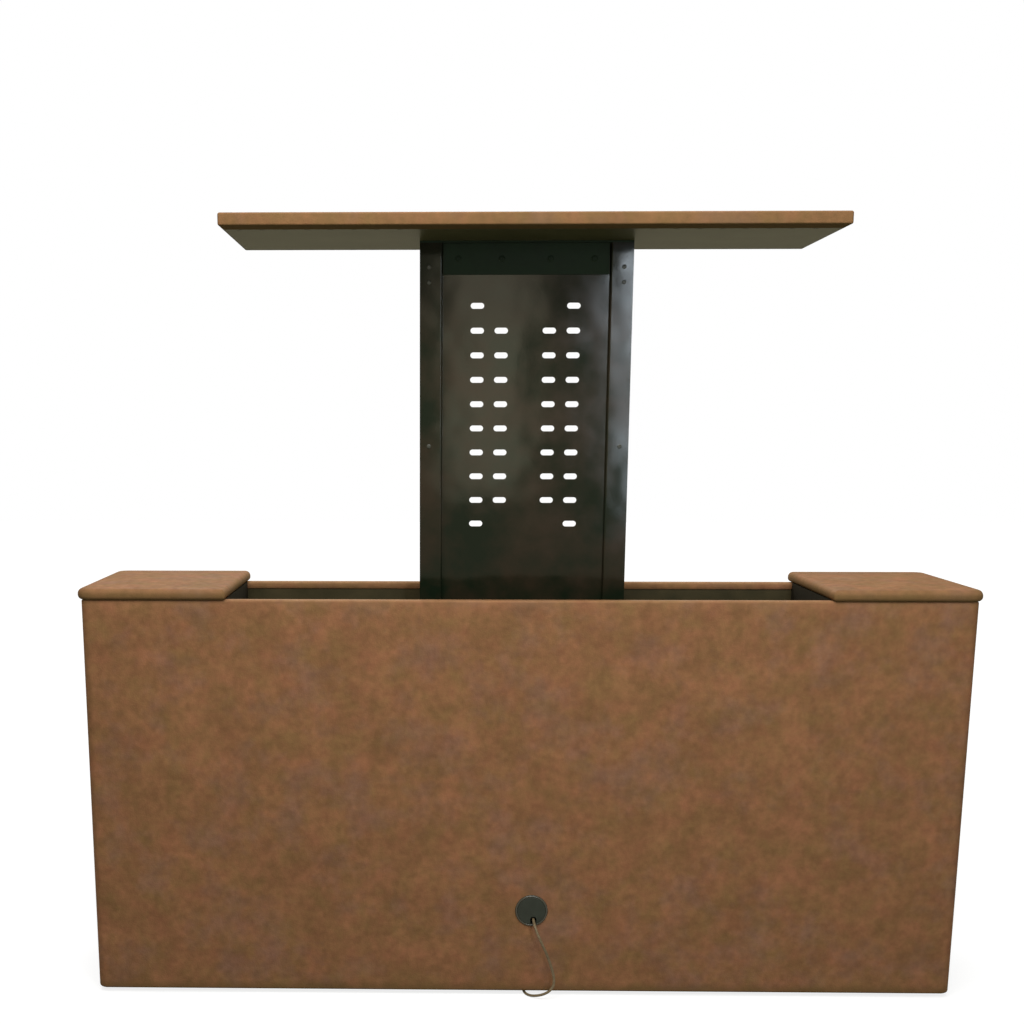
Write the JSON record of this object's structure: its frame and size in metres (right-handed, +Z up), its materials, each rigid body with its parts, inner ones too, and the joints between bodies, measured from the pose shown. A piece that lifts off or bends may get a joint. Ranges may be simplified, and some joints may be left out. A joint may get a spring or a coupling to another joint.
{
  "type": "tv lift cabinet",
  "caption": "Leather-wrapped chest on low glides; its lid rises with a slotted black steel TV pan on a two-stage telescoping lift, with a grommet and mains cord low on one long side.",
  "frame": {"origin": "on the floor under the middle of the chest", "axes": "+X right along the cabinet seen from the cable side, +Y away from the cable side, +Z up"},
  "size_m": [1.814, 0.4995, 1.581],
  "materials": {
    "board": "raw birch plywood",
    "timber": "planed softwood",
    "leather": "mottled brown bonded leather",
    "lining": "dark olive lining cloth",
    "nylon": "moulded nylon",
    "black_steel": "semi-gloss black powder coat",
    "plated_steel": "bright zinc plate",
    "tube_steel": "black powder coat",
    "zinc": "zinc plated",
    "black_oxide": "black oxide",
    "drive_housing": "black enamel",
    "black_plastic": "fine-grained moulding",
    "circuit": "solder-masked board",
    "cord_jacket": "matt PVC jacket"
  },
  "bodies": {
    "cabinet": {"near_board": "board", "far_board": "board", "end_board_left": "board", "end_board_right": "board", "floor_board": "board", "partition_left": "board", "partition_right": "board", "lift_rail_lower": "timber", "lift_rail_upper": "timber", "corner_blocks": "timber", "body_cover": "leather", "floor_glides": "nylon", "cap_cover_left": "leather", "cap_board_left": "board", "cap_cover_right": "leather", "cap_board_right": "board", "cap_brackets": "plated_steel", "lift_tube_outer": "tube_steel", "gearbox": "drive_housing", "lift_motor": "drive_housing", "column_left": "black_steel", "column_right": "black_steel", "column_slide_pads": "nylon", "frame_bar_lower": "black_steel", "frame_bar_upper": "black_steel", "lift_base_plate": "black_steel", "frame_bolts": "zinc", "base_screws": "zinc", "control_box": "black_plastic", "control_box_lid": "black_plastic", "circuit_board": "circuit", "power_supply": "black_plastic", "motor_lead": "cord_jacket", "mains_lead_inner": "cord_jacket", "grommet_ring": "black_plastic", "grommet_cap": "black_plastic", "mains_cord": "cord_jacket", "mains_cord_coil": "cord_jacket", "mains_plug": "cord_jacket"},
    "middle_stage": {"middle_rail_left": "plated_steel", "middle_rail_right": "plated_steel", "middle_foot_bar": "black_steel", "middle_yoke": "black_steel", "lift_tube_middle": "tube_steel"},
    "carriage": {"mount_pan": "black_steel", "carriage_channel_left": "black_steel", "carriage_channel_right": "black_steel", "carriage_slide_pads": "nylon", "carriage_foot_bar": "black_steel", "lid_bracket": "black_steel", "lid_cover": "leather", "lid_board": "board", "lid_lining": "lining", "lift_tube_inner": "tube_steel", "strip_screws": "black_oxide", "bracket_bolts": "black_oxide", "lid_screws": "zinc", "tube_bolts": "zinc"}
  },
  "joints": [
    {"name": "middle_lift", "type": "slide", "parent": "cabinet", "child": "middle_stage", "axis": [0, 0, 1], "range_m": [-0.3575, 0]},
    {"name": "carriage_lift", "type": "slide", "parent": "middle_stage", "child": "carriage", "axis": [0, 0, 1], "range_m": [-0.3575, 0]}
  ],
  "couplings": [
    {"joint": "carriage_lift", "follows": "middle_lift", "ratio": 1}
  ]
}
